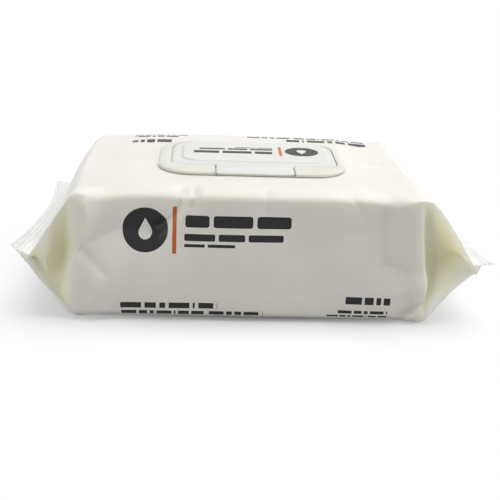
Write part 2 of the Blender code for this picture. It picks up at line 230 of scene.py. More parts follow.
NEAR_FOLD_SPAN = (-14.0 * MM, 0.0)
FAR_FOLD_SPAN = (-4.0 * MM, 14.0 * MM)
BOTTOM_FOLD_SPAN = (-9.0 * MM, 4.0 * MM)
VALLEY_SOFTNESS = 0.36
SEAL_THICKNESS = 0.7 * MM
SEAL_BEND = 1.0 * MM
SEAL_WALL = 0.4 * MM
SEAL_EDGE_SWELL = 0.15 * MM
RIB_PITCH = 1.7 * MM
RIB_HEIGHT = 0.28 * MM
PLEAT_HEIGHT = 0.35 * MM
PLEAT_PITCH = 8.5 * MM
FIN_STEPS = [0.0, 6.0 * MM, 6.3 * MM, 13.0 * MM, 20.0 * MM]
FIN_RELIEF = [0.0, 0.0, 0.3 * MM, 0.3 * MM, 0.0]
SLACK_HEIGHT = 0.2 * MM
# Places of the film's points across the pack, as shares of the way to its edge, and their number
# on the rounded edges and on the near and the far side panel.
FILM_SHARES = np.concatenate([np.linspace(0.0, 0.12, 5), [0.126], np.linspace(0.16, 1.0, 28)])
FILM_REACH = 50.0 * MM
EDGE_POINTS = 10
NEAR_PANEL_POINTS = 61
FAR_PANEL_POINTS = 37

# One end of the pack, as in the solid. ridge gives, for heights from 0 to 1 up the near side, how
# far the crease between the front panel and the tuck lies beyond its plain place. far_rise is how
# far the far corner of the seal is bent up, and gape how far the lowest ply hangs off its near one,
# which ends at gape_reach along the seal. tuck_share is how deep the tuck is, compared with film
# that is pulled taut.
End = namedtuple(
    "End",
    "side body_x bow skew run seal_length seal_z top_start top_power bottom_start bottom_power "
    "lift dip_middle dip_far tuck_level tuck_share edge_bulge ridge far_rise gape gape_reach",
)
LEFT = End(
    side=-1,
    body_x=84.0 * MM,
    bow=2.8 * MM,
    skew=0.0,
    run=21.1 * MM,
    seal_length=8.0 * MM,
    seal_z=31.5 * MM,
    top_start=-2.0 * MM,
    top_power=1.05,
    bottom_start=-3.0 * MM,
    bottom_power=1.3,
    lift=4.9 * MM,
    dip_middle=4.8 * MM,
    dip_far=4.0 * MM,
    tuck_level=0.15,
    tuck_share=0.27,
    edge_bulge=1.5 * MM,
    ridge=([0.0, 0.05, 0.17, 0.44, 0.52, 0.6, 0.8, 1.0], [1.0, 2.6, 6.2, 6.0, 4.0, 1.6, 1.6, 1.6]),
    far_rise=1.5 * MM,
    gape=4.2 * MM,
    gape_reach=(0.0, 7.0 * MM),
)
RIGHT = End(
    side=1,
    body_x=76.5 * MM,
    bow=-1.2 * MM,
    skew=6.5 * MM,
    run=27.2 * MM,
    seal_length=9.4 * MM,
    seal_z=30.9 * MM,
    top_start=4.4 * MM,
    top_power=1.2,
    bottom_start=0.0,
    bottom_power=0.88,
    lift=1.6 * MM,
    dip_middle=6.2 * MM,
    dip_far=3.0 * MM,
    tuck_level=0.45,
    tuck_share=0.74,
    edge_bulge=5.0 * MM,
    ridge=(
        [0.0, 0.05, 0.18, 0.28, 0.44, 0.61, 0.77, 0.93, 1.0],
        [5.0, 6.0, 6.2, 5.8, 4.9, 3.6, 2.0, 0.8, 0.0],
    ),
    far_rise=-4.0 * MM,
    gape=4.0 * MM,
    gape_reach=(2.2 * MM, 3.6 * MM),
)


def ease(t, start, stop):
    """0 before start and 1 after stop, joined by a smooth S curve."""
    u = np.clip((t - start) / (stop - start), 0.0, 1.0)
    return u * u * (3.0 - 2.0 * u)


def ramp(t, reach):
    """0 before a bend at t = 0 and t after it, joined by a parabola that reaches to both sides."""
    parabola = (t + reach) ** 2 / (4.0 * reach)
    return np.where(t <= -reach, 0.0, np.where(t >= reach, t, parabola))


def film_heights(end, s, bend=FOLD_BEND):
    """Heights of the two films: the bottom level and the top slightly domed, then both sloping to
    the seal along a power of the way, then level along the seal."""
    past_seal = ramp(s - end.run, SEAL_BEND)
    top_way = (ramp(s - end.top_start, bend) - past_seal) / (end.run - end.top_start)
    bottom_way = (ramp(s - end.bottom_start, bend) - past_seal) / (end.run - end.bottom_start)
    top_drop = POUCH_HEIGHT - end.seal_z - SEAL_THICKNESS / 2
    top = POUCH_HEIGHT + DOME_RISE * ease(-s, *DOME_SPAN) - top_drop * top_way**end.top_power
    bottom = (end.seal_z - SEAL_THICKNESS / 2) * bottom_way**end.bottom_power
    return top, bottom


def tuck_depth(end, s, level):
    """Depth of the tuck: the valley lies on an ellipse about the two folds, as film stays taut."""
    top, bottom = film_heights(end, s, CREASE_BEND)
    mouth = np.minimum(top - bottom, POUCH_HEIGHT)
    half_film = POUCH_HEIGHT / 2
    across = np.sqrt(half_film**2 - (mouth / 2) ** 2)
    along = np.sqrt(1.0 - ((level - 0.5) * mouth / half_film) ** 2)
    share = 1.0 + (end.tuck_share - 1.0) * ease(s, 3.0 * MM, end.run * 0.6)
    return np.where(s > end.run, -SEAL_EDGE_SWELL, share * across * along)


def half_section(end, s, top_edge, fold_span, panel_points):
    """Half loops (y, z) of the film at the distances s beyond the body's end, one row for each.

    Each row runs from the middle of the underside, round the near edge, up the side panel with
    its tuck, and round the top edge to the middle of the top. The long edges are elliptical on the
    body and sharpen into folds.
    """
    s = s[:, None]
    top, bottom = film_heights(end, s)
    level = 0.5 + (end.tuck_level - 0.5) * ease(s, 0.0, end.run * 0.8) * (s <= end.run)
    depth = tuck_depth(end, s, level)
    sharp_bottom = ease(s, *BOTTOM_FOLD_SPAN)
    sharp_top = ease(s, *fold_span)
    bottom_y, bottom_z = [size + (FOLD_THICKNESS - size) * sharp_bottom for size in BOTTOM_EDGE]
    top_y, top_z = [size + (FOLD_THICKNESS - size) * sharp_top for size in top_edge]
    low, high = bottom + bottom_z, top - top_z
    valley = low + level * (high - low)

    share = FILM_SHARES[None, :-1]
    widen = ease(share, 0.45, 1.0)
    under_y = -share * FILM_REACH - (HALF_WIDTH - bottom_y - FILM_REACH) * widen
    over_y = -share * FILM_REACH - (HALF_WIDTH - top_y - FILM_REACH) * widen
    relief = np.interp(np.abs(under_y), FIN_STEPS, FIN_RELIEF)
    under_z = bottom + relief * (1.0 - ease(s, end.run - 4.0 * MM, end.run))
    over_z = np.broadcast_to(top, over_y.shape)

    turn = np.linspace(0.0, np.pi / 2, EDGE_POINTS)[None, :-1]
    lower_edge_y = -HALF_WIDTH + bottom_y * (1.0 - np.sin(turn))
    lower_edge_z = bottom + bottom_z * (1.0 - np.cos(turn))
    upper_edge_y = -HALF_WIDTH + top_y * (1.0 - np.sin(turn))
    upper_edge_z = top - top_z * (1.0 - np.cos(turn))

    climb = np.linspace(-1.0, 1.0, panel_points)[None, :]
    reach = np.hypot(1.0, VALLEY_SOFTNESS) - np.hypot(climb, VALLEY_SOFTNESS)
    panel_z = valley + climb * np.where(climb < 0.0, valley - low, high - valley)
    bulge = SIDE_BULGE * (1.0 - ease(s, -25.0 * MM, -3.0 * MM)) * (1.0 - climb**2)
    panel_y = -HALF_WIDTH + depth * reach - bulge

    y = np.concatenate([under_y, lower_edge_y, panel_y, upper_edge_y[:, ::-1], over_y[:, ::-1]], axis=1)
    z = np.concatenate([under_z, lower_edge_z, panel_z, upper_edge_z[:, ::-1], over_z[:, ::-1]], axis=1)
    return y, z


def end_surface(end, s):
    """Closed loops of points (x, y, z) round the pouch, one row for each distance s.

    The end's line swells or is skewed, its upright creases follow their ridge, the line of the
    seal is pulled in towards the middle of the pack and its corners are lifted. The film has
    crimp ribs along the seal and soft pleats on its way there.
    """
    near_y, near_z = half_section(end, s, NEAR_TOP_EDGE, NEAR_FOLD_SPAN, NEAR_PANEL_POINTS)
    far_y, far_z = half_section(end, s, FAR_TOP_EDGE, FAR_FOLD_SPAN, FAR_PANEL_POINTS)
    lean = NEAR_LEAN * ease(near_z, *NEAR_LEAN_SPAN) * ease(-near_y, 40.0 * MM, 54.0 * MM)
    near_y = near_y + lean * (1.0 - ease(s, -16.0 * MM, -4.0 * MM))[:, None]
    y = np.concatenate([near_y, -far_y[:, -2:0:-1]], axis=1)
    z = np.concatenate([near_z, far_z[:, -2:0:-1]], axis=1)
    s = s[:, None]
    across = y / HALF_WIDTH
    before_seal = 1.0 - ease(s, 0.0, end.run)
    shoulder = ease(s, -45.0 * MM, -2.0 * MM) * before_seal
    end_line = (end.bow * (1.0 - across**2) - end.skew * (1.0 + across) / 2) * shoulder
    dip = end.dip_middle * (1.0 - across**2) + end.dip_far * (1.0 + across) / 2
    pulled_in = dip * ease(s, 2.0 * MM, end.run)
    along_seal = ramp(s - end.run, SEAL_BEND) / end.seal_length
    lift = end.lift * (1.0 - across) / 2 * along_seal
    lift = lift + end.far_rise * np.clip((across - 0.38) / 0.62, 0.0, 1.0) * np.clip(along_seal, 0.0, 1.0)

    top, bottom = film_heights(end, s)
    up = np.clip((z - bottom) / (top - bottom), 0.0, 1.0)
    near_side = ease(-across, 0.8, 0.97)
    ridge = near_side * np.interp(up, end.ridge[0], np.array(end.ridge[1]) * MM)
    ridge = ridge + (1.0 - near_side) * end.edge_bulge * 4.0 * up * (1.0 - up)
    edge = ridge * ease(s, -16.0 * MM, 0.0) * before_seal
    x = end.side * (end.body_x + s + end_line - pulled_in + edge)

    corner = ease(-across, 0.72, 1.0) * (1.0 - up) * ease(s, end.run * 0.2, end.run)
    gape = end.gape * corner * (1.0 - ease(s - end.run, *end.gape_reach))
    past = s - end.run - SEAL_WALL
    fade = ease(past, 0.0, 0.8 * MM) * (1.0 - ease(past, end.seal_length - 1.6 * MM, end.seal_length))
    ribs = RIB_HEIGHT * np.sin(2.0 * np.pi * past / RIB_PITCH) * fade
    pleat_zone = ease(s, end.run * 0.2, end.run * 0.9) * (1.0 - ease(s, end.run - 1.5 * MM, end.run))
    waver = np.sin(across * 7.0 + end.side) + 0.6 * np.sin(across * 17.0 + 1.3)
    pleats = PLEAT_HEIGHT * np.sin(2.0 * np.pi * y / PLEAT_PITCH + waver * 1.4) * pleat_zone
    pleats = pleats * ((up > 0.97) | (up < 0.03))
    return np.stack([x, y, z + lift + ribs + pleats - gape], axis=2)


def end_stations(end, far_end):
    """Distances beyond the body's end, close together on the seal, the folds and the slope."""
    return np.concatenate(
        [
            np.linspace(end.run + end.seal_length, end.run + SEAL_WALL, 34),
            np.linspace(end.run, 4.0 * MM, 40),
            np.linspace(4.0 * MM, -9.0 * MM, 30)[1:],
            np.linspace(-9.0 * MM, far_end, 67)[1:],
        ]
    )


# Creases and dents: the side of the pack, the points of a line on it in millimetres (along the
# pack and up, or along and across on the top), to the left and the right of the line how far the
# film stands out (below zero, how far it is pushed in) and how far that reaches. The step between
# the two sides runs out towards both ends of the line.
CREASES = [
    ("front", [(-79.0, 58), (-78.8, 43)], (3.4, 5.0), (3.0, 3.2)),
    ("front", [(-77.5, 38.6), (-75.7, 39.1), (-64, 44), (-48, 46)], (-2.6, 5.0), (-2.2, 6.0)),
    ("front", [(-81.5, 36.2), (-75.9, 30.1), (-70.2, 23.6)], (-1.7, 2.8), (-1.7, 2.4)),
    ("front", [(-71.8, 22), (-73.6, 16.3), (-76.3, 8.4)], (3.0, 9.0), (3.4, 10.0)),
    ("front", [(-33.5, 63), (-37, 53), (-47, 44)], (-2.4, 2.6), (-2.0, 2.2)),
    ("front", [(-28.5, 63), (-29.5, 56)], (-2.0, 1.8), (-1.8, 2.4)),
    ("front", [(5, 62), (5, 55)], (-1.0, 2.0), (-1.0, 2.5)),
    ("front", [(45, 61), (50, 54)], (-1.0, 3.0), (-0.8, 3.0)),
    ("front", [(73.8, 55), (74.6, 44), (76.5, 22)], (1.1, 2.8), (1.1, 7.0)),
    ("front", [(64, 30), (73, 27.5)], (-2.2, 5.0), (-2.2, 5.0)),
    ("front", [(66, 15), (79, 21)], (1.2, 5.0), (1.2, 5.0)),
    ("front", [(70, 0.5), (74, 2.4), (78.2, 7.4), (81.5, 10.6)], (-3.0, 6.0), (0.6, 4.0)),
    ("front", [(25, 40), (62, 46)], (-1.0, 12.0), (-1.0, 12.0)),
    ("front", [(-25, 18), (30, 14)], (-1.0, 12.0), (-1.0, 12.0)),
    ("back", [(-76, 38), (-62, 37), (-44, 34)], (-2.6, 6.0), (-2.2, 6.0)),
    ("back", [(-84, 32), (-76, 26), (-68, 19)], (-3.2, 9.0), (0.8, 3.5)),
    ("back", [(66, 40), (52, 34), (38, 30)], (-2.2, 7.0), (-2.0, 7.0)),
    ("back", [(76, 18), (69, 25), (60, 34)], (0.9, 3.5), (-2.6, 8.0)),
    ("back", [(-12, 52), (-9, 46), (-2, 38)], (-2.0, 2.5), (-1.8, 2.0)),
    ("back", [(34, 53), (29, 44)], (-1.8, 2.4), (-1.6, 2.0)),
    ("back", [(-30, 14), (20, 20)], (-1.0, 11.0), (-1.0, 11.0)),
    ("top", [(-50, -33), (-66, -46)], (-0.5, 3.5), (-0.5, 3.5)),
    ("top", [(48, -32), (60, -44)], (-0.5, 3.5), (-0.5, 3.5)),
    ("top", [(-50, 32), (-70, 42)], (-0.6, 3.5), (-0.6, 3.5)),
    ("top", [(49, 32), (60, 40)], (-0.5, 3.0), (-0.5, 3.0)),
    ("top", [(-54, 2), (-74, 6)], (-0.5, 5.0), (-0.5, 5.0)),
    ("top", [(52, 8), (66, 4)], (-0.5, 5.0), (-0.5, 5.0)),
]
CREASE_POWER = 1.4
STEP_RUN_OUT = 0.3


def nearest_on_line(u, v, corners):
    """Distance to a line of straight stretches, below zero on its right, and the share of the line
    that is passed at the nearest point."""
    distance = np.full(np.shape(u), np.inf)
    side = np.zeros(np.shape(u))
    share = np.zeros(np.shape(u))
    runs = np.diff(np.array(corners, dtype=float), axis=0)
    lengths = np.hypot(*runs.T)
    passed = np.concatenate([[0.0], np.cumsum(lengths)])
    for corner, run, length, before in zip(corners, runs, lengths, passed):
        off_u, off_v = u - corner[0], v - corner[1]
        along = np.clip((off_u * run[0] + off_v * run[1]) / length**2, 0.0, 1.0)
        away = np.hypot(off_u - along * run[0], off_v - along * run[1])
        nearer = away < distance
        distance = np.where(nearer, away, distance)
        side = np.where(nearer, np.sign(off_v * run[0] - off_u * run[1]), side)
        share = np.where(nearer, (before + along * length) / passed[-1], share)
    return distance * side, share


def crease(u, v, corners, left, right):
    """A line whose two sides fall away from it as exponentials, each with its height and reach."""
    distance, share = nearest_on_line(u, v, corners)
    step = np.sign(distance) * ease(share, 0.0, STEP_RUN_OUT) * ease(1.0 - share, 0.0, STEP_RUN_OUT)
    height = (left[0] + right[0]) / 2 + step * (left[0] - right[0]) / 2
    reach = (left[1] + right[1]) / 2 + step * (left[1] - right[1]) / 2
    return height * np.exp(-((np.abs(distance) / reach) ** CREASE_POWER))


def surface_normals(points):
    """Unit normals of a grid that is closed in its second direction, from its neighbours."""
    along = np.gradient(points, axis=0)
    around = np.roll(points, -1, axis=1) - np.roll(points, 1, axis=1)
    normals = np.cross(along, around)
    return normals / np.maximum(np.linalg.norm(normals, axis=2, keepdims=True), 1e-12)


def crumple(points, slack):
    """Moves the film along its normals by the creases and by slow waves.

    slack is 1 on the body and 0 where the film is folded or sealed. The flat under the lid frame
    and the underside that the pack lies on stay as they are, and nothing rises above the top.
    """
    x, y, z = np.moveaxis(points / MM, 2, 0)
    waves = np.sin(x / 9.0 + z / 13.0) + np.sin(y / 8.0 - x / 15.0 + 1.0) + np.sin(z / 7.0 + x / 21.0)
    move = SLACK_HEIGHT / MM * waves / 1.5 * slack
    sides = {
        "front": (z, (y < -40.0) * ease(-y, 45.0, 52.0)),
        "back": (z, (y > 40.0) * ease(y, 45.0, 52.0)),
        "top": (y, ease(z, 57.0, 60.0) * (np.abs(y) < 52.0)),
    }
    for side, *line in CREASES:
        v, mask = sides[side]
        move = move + mask * crease(x, v, *line)
    off_frame = ease(np.maximum(np.abs(x + 1.0) - 48.0, np.abs(y) - 32.0), 0.0, 7.0)
    on_top = z > 60.0
    move = np.where(on_top & (np.abs(y) < 50.0), np.minimum(move, 0.0) * off_frame, move)
    move = move * ease(z, 0.5, 6.0)
    return points + surface_normals(points) * move[..., None] * MM


def closed_tube(name, points, near_count):
    """A mesh from loops of points, with each end closed by strips between its two films."""
    rows, count = points.shape[:2]
    index = np.arange(rows * count).reshape(rows, count)
    following = np.roll(index, -1, axis=1)
    quads = np.stack([index[:-1], index[1:], following[1:], following[:-1]], axis=2).reshape(-1, 4)
    faces = quads.tolist()
    for row in (index[0], index[-1]):
        for loop in (row[:near_count], np.append(row[near_count - 1 :], row[0])):
            half = len(loop) // 2
            ahead, back = loop[:half], loop[::-1][:half]
            strip = np.stack([ahead[:-1], ahead[1:], back[1:], back[:-1]], axis=1)
            faces += strip.tolist() + [[ahead[-1], loop[half], back[-1]]]
    mesh = bpy.data.meshes.new(name)
    mesh.from_pydata(points.reshape(-1, 3), [], faces)
    shape = bmesh.new()
    shape.from_mesh(mesh)
    bmesh.ops.recalc_face_normals(shape, faces=shape.faces)
    shape.to_mesh(mesh)
    shape.free()
    mesh.shade_smooth()
    piece = bpy.data.objects.new(name, mesh)
    bpy.context.scene.collection.objects.link(piece)
    return piece


def mark_painted_tuck_shine(piece, s):
    """Gives each point of the film an attribute, the share of the painted glow in the tucks: 1 in the
    middle of a tuck, 0 at its edges and beyond, along a half sine up the side panel."""
    flat_points = len(FILM_SHARES) - 1 + EDGE_POINTS - 1
    near, far = [
        np.pad(np.sin(np.linspace(0.0, np.pi, count)), flat_points)
        for count in (NEAR_PANEL_POINTS, FAR_PANEL_POINTS)
    ]
    around = np.concatenate([near, far[-2:0:-1]])
    along = ease(s, -4.0 * MM, 0.5 * MM)
    attribute = piece.data.attributes.new("painted_tuck_shine", "FLOAT", "POINT")
    attribute.data.foreach_set("value", (along * around[None, :] ** 0.5).ravel())


left_s = end_stations(LEFT, -LEFT.body_x)
right_s = end_stations(RIGHT, -RIGHT.body_x)[::-1][1:]
film_points = np.concatenate([end_surface(LEFT, left_s), end_surface(RIGHT, right_s)])
film_s = np.concatenate([left_s, right_s])[:, None]
film_points = crumple(film_points, 1.0 - ease(film_s, -20.0 * MM, -4.0 * MM))
near_points = 2 * (len(FILM_SHARES) - 1 + EDGE_POINTS - 1) + NEAR_PANEL_POINTS
film = closed_tube("film_pouch", film_points, near_points)
mark_painted_tuck_shine(film, film_s)
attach(film, "pack")
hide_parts("pouch")

# Print on the film
# Flexographic print in black and orange: greeked bars stand for the lines of text, with a plain
# round badge and an upright bar. The same layout is on the lid, smaller and turned round.
FILM_COLOUR = (0.785, 0.765, 0.71, 1.0)
FILM_PALER = (0.81, 0.79, 0.735, 1.0)
# Painted glow: the film is paler towards both ends, beyond the wipes, for light shining through it there.
FILM_ENDS_PAINTED_SHINE = (0.87, 0.86, 0.80, 1.0)
# Painted glow: a paler, yellower colour in the tucks, for light shining through the film there.
FILM_TUCKS_PAINTED_SHINE = (0.90, 0.885, 0.705, 1.0)
# Light spreads under the film, in the wet wipes and between the plies, blue the least.
FILM_GLOW = 0.7
FILM_GLOW_RADIUS = (4.5 * MM, 4.2 * MM, 2.8 * MM)
INK_BLACK = (0.012, 0.012, 0.013, 1.0)
INK_ORANGE = (0.56, 0.13, 0.012, 1.0)
BADGE_CENTRE = (-51.4, 44.4)
BADGE_RADIUS = 10.6
DROP_RADIUS = 3.1
DROP_TIP = 7.0
# Bars (centre and half size, in millimetres) of the main print, from the middle of the badge.
ORANGE_BARS = [(13.6, 0.1, 0.95, 11.1)]
MAIN_BARS = [
    (24.2, 4.6, 5.6, 2.9),
    (40.9, 4.6, 9.2, 2.9),
    (60.0, 4.6, 8.0, 2.9),
    (25.4, -3.1, 7.2, 1.7),
    (40.4, -3.1, 6.2, 1.7),
    (56.4, -3.1, 8.2, 1.7),
    (23.0, -7.0, 4.8, 0.75),
    (35.6, -7.0, 6.4, 0.75),
]
# Lines of small print: left end, right end, height, half height, and the pitch of their gaps.
SMALL_LINES = [
    (-62.9, -17.1, 7.8, 1.45, 11.4),
    (-62.5, 4.9, 3.9, 1.1, 8.3),
    (44.0, 65.3, 12.0, 1.9, 9.1),
    (40.7, 64.4, 6.0, 0.8, 7.7),
    (35.6, 64.4, 3.7, 0.55, 6.1),
]
# The same lines stand further apart at the far edge of the top.
TOP_LINE_SPREAD = 1.7


class Nodes:
    """Short calls for a node tree: each adds a node and gives back its output."""

    def __init__(self, tree):
        self.tree = tree

    def add(self, kind, **settings):
        node = self.tree.nodes.new(kind)
        for name, value in settings.items():
            setattr(node, name, value)
        return node

    def put(self, socket, value):
        if isinstance(value, bpy.types.NodeSocket):
            self.tree.links.new(value, socket)
        else:
            socket.default_value = value

    def math(self, operation, *values):
        node = self.add("ShaderNodeMath", operation=operation)
        for socket, value in zip(node.inputs, values):
            self.put(socket, value)
        return node.outputs[0]

    def mix(self, factor, first, second):
        node = self.add("ShaderNodeMix", data_type="RGBA")
        self.put(node.inputs[0], factor)
        self.put(node.inputs[6], first)
        self.put(node.inputs[7], second)
        return node.outputs[2]

    def noise(self, vector, scale, detail):
        node = self.add("ShaderNodeTexNoise")
        self.put(node.inputs["Vector"], vector)
        self.put(node.inputs["Scale"], scale)
        self.put(node.inputs["Detail"], detail)
        return node.outputs["Fac"]

    def ramp(self, value, low, high, out_low, out_high):
        node = self.add("ShaderNodeMapRange")
        for socket, number in zip(node.inputs, (value, low, high, out_low, out_high)):
            self.put(socket, number)
        return node.outputs[0]

    def bump(self, height, strength, distance):
        node = self.add("ShaderNodeBump")
        self.put(node.inputs["Height"], height)
        self.put(node.inputs["Strength"], strength)
        self.put(node.inputs["Distance"], distance)
        return node.outputs["Normal"]


def new_material(name, roughness, specular):
    """A Principled material: its Nodes helper, its shader, and Object coordinates in millimetres."""
    material = bpy.data.materials.new(name)
    material.use_nodes = True
    nodes = Nodes(material.node_tree)
    shader = material.node_tree.nodes["Principled BSDF"]
    shader.inputs["Roughness"].default_value = roughness
    shader.inputs["Specular IOR Level"].default_value = specular
    place = nodes.add("ShaderNodeTexCoord").outputs["Object"]
    scale = nodes.add("ShaderNodeVectorMath", operation="SCALE")
    nodes.put(scale.inputs[0], place)
    scale.inputs["Scale"].default_value = 1.0 / MM
    return material, nodes, shader, scale.outputs[0]


def any_of(nodes, masks):
    """1 where any of the masks is 1."""
    total = masks[0]
    for mask in masks[1:]:
        total = nodes.math("MAXIMUM", total, mask)
    return total


def bar_mask(nodes, u, v, centre_u, centre_v, half_u, half_v):
    """1 inside a bar with round corners: the distance to the bar's core is less than its radius."""
    radius = min(half_u, half_v) * 0.45
    off_u = nodes.math("ABSOLUTE", nodes.math("SUBTRACT", u, centre_u))
    off_v = nodes.math("ABSOLUTE", nodes.math("SUBTRACT", v, centre_v))
    out_u = nodes.math("MAXIMUM", nodes.math("SUBTRACT", off_u, half_u - radius), 0.0)
    out_v = nodes.math("MAXIMUM", nodes.math("SUBTRACT", off_v, half_v - radius), 0.0)
    squares = nodes.math("MULTIPLY_ADD", out_u, out_u, nodes.math("MULTIPLY", out_v, out_v))
    return nodes.math("LESS_THAN", squares, radius**2)


def line_mask(nodes, u, v, left, right, height, half_height, pitch):
    """1 inside a line of small bars: a long bar cut by two trains of gaps of unlike pitch."""
    off_u = nodes.math("ABSOLUTE", nodes.math("SUBTRACT", u, (left + right) / 2))
    off_v = nodes.math("ABSOLUTE", nodes.math("SUBTRACT", v, height))
    inside = nodes.math(
        "MULTIPLY",
        nodes.math("LESS_THAN", off_u, (right - left) / 2),
        nodes.math("LESS_THAN", off_v, half_height),
    )
    for gap_pitch, filled in ((pitch, 0.86), (pitch * 1.618, 0.91)):
        phase = nodes.math("FRACT", nodes.math("DIVIDE", nodes.math("SUBTRACT", u, left), gap_pitch))
        inside = nodes.math("MULTIPLY", inside, nodes.math("LESS_THAN", phase, filled))
    return inside


def badge_masks(nodes, u, v):
    """The round badge, and on it a plain drop: a circle with a pointed cone on top."""
    squares = nodes.math("MULTIPLY_ADD", u, u, nodes.math("MULTIPLY", v, v))
    badge = nodes.math("LESS_THAN", squares, BADGE_RADIUS**2)
    low_v = nodes.math("ADD", v, 1.7)
    low_squares = nodes.math("MULTIPLY_ADD", u, u, nodes.math("MULTIPLY", low_v, low_v))
    bulb = nodes.math("LESS_THAN", low_squares, DROP_RADIUS**2)
    sine = DROP_RADIUS / DROP_TIP
    slope = sine / np.sqrt(1.0 - sine**2)
    down = nodes.math("SUBTRACT", DROP_TIP, low_v)
    cone = nodes.math("LESS_THAN", nodes.math("ABSOLUTE", u), nodes.math("MULTIPLY", down, slope))
    cone = nodes.math("MULTIPLY", cone, nodes.math("GREATER_THAN", low_v, DROP_RADIUS * sine))
    return badge, any_of(nodes, [bulb, cone])


def main_print(nodes, u, v):
    """Masks of the black and the orange ink of the main print, from the middle of the badge."""
    badge, drop = badge_masks(nodes, u, v)
    black = any_of(nodes, [badge] + [bar_mask(nodes, u, v, *bar) for bar in MAIN_BARS])
    black = nodes.math("SUBTRACT", black, drop)
    orange = any_of(nodes, [bar_mask(nodes, u, v, *bar) for bar in ORANGE_BARS])
    return nodes.math("MAXIMUM", black, 0.0), orange


def film_material():
    """Satin film, a little uneven, with the print of the front panel and of the top's far edge, and
    with painted glow for light shining through the film: paler at the ends, paler and yellower in the tucks.
    """
    material, nodes, shader, place = new_material("printed_film", 0.42, 0.3)
    shader.inputs["Subsurface Weight"].default_value = FILM_GLOW
    shader.inputs["Subsurface Radius"].default_value = FILM_GLOW_RADIUS
    shader.inputs["Subsurface Scale"].default_value = 1.0
    split = nodes.add("ShaderNodeSeparateXYZ")
    nodes.put(split.inputs[0], place)
    x, y, z = split.outputs
    on_front = nodes.math("LESS_THAN", y, -47.0)
    on_top = nodes.math("MULTIPLY", nodes.math("GREATER_THAN", z, 58.0), nodes.math("LESS_THAN", y, 56.5))

    badge_u = nodes.math("SUBTRACT", x, BADGE_CENTRE[0])
    badge_v = nodes.math("SUBTRACT", z, BADGE_CENTRE[1])
    black, orange = main_print(nodes, badge_u, badge_v)
    front_lines = any_of(nodes, [line_mask(nodes, x, z, *line) for line in SMALL_LINES])
    black = nodes.math("MULTIPLY", nodes.math("MAXIMUM", black, front_lines), on_front)
    orange = nodes.math("MULTIPLY", orange, on_front)
    top_u = nodes.math("SUBTRACT", 1.2, x)
    top_v = nodes.math("DIVIDE", nodes.math("SUBTRACT", 56.5, y), TOP_LINE_SPREAD)
    top_lines = any_of(nodes, [line_mask(nodes, top_u, top_v, *line) for line in SMALL_LINES])
    black = nodes.math("MAXIMUM", black, nodes.math("MULTIPLY", top_lines, on_top))

    cloud = nodes.noise(place, 0.035, 2.0)
    colour = nodes.mix(nodes.ramp(cloud, 0.35, 0.65, 0.0, 1.0), FILM_COLOUR, FILM_PALER)
    # Painted glow: paler towards both ends of the pack, for light shining through the film there.
    from_middle = nodes.math("ABSOLUTE", nodes.math("ADD", x, 2.5))
    colour = nodes.mix(nodes.ramp(from_middle, 78.0, 88.0, 0.0, 1.0), colour, FILM_ENDS_PAINTED_SHINE)
    # Painted glow in the tucks, for light shining through the film.
    painted_tuck_shine = nodes.add("ShaderNodeAttribute", attribute_name="painted_tuck_shine").outputs["Fac"]
    colour = nodes.mix(painted_tuck_shine, colour, FILM_TUCKS_PAINTED_SHINE)
    colour = nodes.mix(black, colour, INK_BLACK)
    colour = nodes.mix(orange, colour, INK_ORANGE)
    nodes.put(shader.inputs["Base Color"], colour)
    fine = nodes.noise(place, 0.9, 3.0)
    coarse = nodes.noise(place, 0.18, 2.0)
    height = nodes.math("MULTIPLY_ADD", coarse, 3.0, fine)
    nodes.put(shader.inputs["Normal"], nodes.bump(height, 0.25, 0.12 * MM))
    nodes.put(shader.inputs["Roughness"], nodes.ramp(fine, 0.3, 0.7, 0.36, 0.46))
    return material


film.data.materials.append(film_material())

# Lid frame
# Injection-moulded polypropylene, glued on the top film: a thin flange with a raised rim, a pocket
# that the lid nests in, a collar round the window, and a notch in the rim for the thumb.
frame_low, frame_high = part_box("lid_frame")
lid_low, lid_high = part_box("lid")
FRAME_BOTTOM = frame_low.z
RIM_TOP = frame_high.z
FLANGE_TOP = FRAME_BOTTOM + 0.6 * MM
FRAME_CENTRE = ((frame_low.x + frame_high.x) / 2, 0.0)
FRAME_HALF_SIZE = ((frame_high.x - frame_low.x) / 2, frame_high.y)
FRAME_RADIUS = 17.0 * MM
HINGE_Y = frame_low.y
WINDOW_CENTRE = (1.3 * MM, 6.2 * MM)
WINDOW_HALF_SIZE = (29.0 * MM, 14.5 * MM)
WINDOW_RADIUS = 12.0 * MM
COLLAR_WALL = 1.2 * MM
LID_CENTRE = ((lid_low.x + lid_high.x) / 2, 6.25 * MM)
LID_HALF_SIZE = ((lid_high.x - lid_low.x) / 2, 21.75 * MM)
LID_RADII = (4.0 * MM, 13.0 * MM)
LID_CLEARANCE = 0.5 * MM
TONGUE_CENTRE_X = 0.1 * MM
TONGUE_HALF_WIDTH = 19.0 * MM
TONGUE_FILLET = 5.0 * MM
NOTCH_HALF_WIDTH = 13.0 * MM
LIP_HALF_WIDTH = 11.0 * MM
LIP_REACH = 1.6 * MM
# The outer edge of the rim and the end of the tongue, down their bevel: how far in, and how high.
BEVEL_INSETS = np.array([1.5, 0.9, 0.45, 0.15, 0.0]) * MM
BEVEL_DROPS = np.array([0.0, 0.13, 0.3, 0.55, 0.85]) * MM
# Points on each stretch of an outline, anticlockwise from the left end of the tongue.
STRETCHES = {"end": 25, "side": 8, "root": 9, "near": 9, "corner": 13, "flank": 15, "far": 10, "notch": 21}


def straight(start, end, count):
    """Points from start to end, both included."""
    share = np.linspace(0.0, 1.0, count)[:, None]
    return np.array(start) + share * (np.array(end) - np.array(start))


def arc(centre, radius, start, end, count):
    """Points on an arc between two angles in degrees, both ends included."""
    angles = np.radians(np.linspace(start, end, count))
    return np.stack([centre[0] + radius * np.cos(angles), centre[1] + radius * np.sin(angles)], axis=1)


